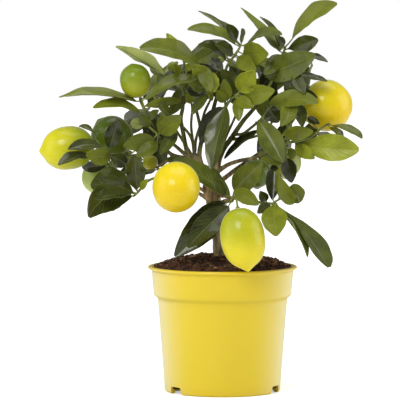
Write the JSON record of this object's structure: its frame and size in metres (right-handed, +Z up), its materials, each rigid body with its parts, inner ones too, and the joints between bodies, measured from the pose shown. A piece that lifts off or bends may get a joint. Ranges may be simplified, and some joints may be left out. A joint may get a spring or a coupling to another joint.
{
  "type": "potted limequat tree",
  "caption": "Small citrus tree with pointed leaves and yellow and green fruits, growing from soil in a tapered plastic nursery pot.",
  "frame": {"origin": "centre of the pot's underside, on the surface that it stands on", "axes": "+Z up along the pot's axis, -Y towards the front of the crown, where the lowest fruit hangs"},
  "size_m": [0.2585, 0.1915, 0.3144],
  "materials": {
    "pot_plastic": "glossy yellow, moulded",
    "potting_soil": "loose dark crumbs and bark fibre",
    "bark": "thin fissured bark, greener on the young stems",
    "leaves": "glossy dark upper face, paler matt underside",
    "fruit_yellow": "waxy rind with fine pores, ripe yellow",
    "fruit_turning": "waxy rind with fine pores, green turning yellow",
    "fruit_green": "waxy rind with fine pores, unripe green"
  },
  "bodies": {
    "root": {"pot": "pot_plastic", "soil": "potting_soil", "trunk_and_branches": "bark", "leafy_stem_low_left": "leaves", "leafy_stem_left": "leaves", "leafy_stem_left_mid": "leaves", "leafy_stem_centre_left": "leaves", "leafy_stem_upper_left_low": "leaves", "leafy_stem_upper_left": "leaves", "leafy_stem_upper_centre": "leaves", "leafy_stem_inner": "leaves", "leafy_stem_top": "leaves", "leafy_stem_upper_right": "leaves", "leafy_stem_right_mid": "leaves", "leafy_stem_centre": "leaves", "leafy_stem_right": "leaves", "leafy_stem_low_right": "leaves", "leafy_stem_low_centre": "leaves", "leafy_stem_back_left": "leaves", "leafy_stem_back_centre": "leaves", "leafy_stem_back_right": "leaves", "leafy_stem_back_high": "leaves", "leafy_stem_back_low_left": "leaves", "leafy_stem_back_low_right": "leaves", "leafy_stem_mid_left": "leaves", "leafy_stem_mid_right": "leaves", "leafy_stem_mid_centre": "leaves", "fruit_left": "fruit_turning", "fruit_left_dark": "fruit_green", "fruit_left_pale": "fruit_green", "fruit_front": "fruit_yellow", "fruit_small": "fruit_green", "fruit_upper_left": "fruit_green", "fruit_tiny": "fruit_green", "fruit_right": "fruit_yellow", "fruit_right_hidden": "fruit_green", "fruit_centre_dark": "fruit_green", "fruit_low_front": "fruit_turning"}
  },
  "joints": []
}
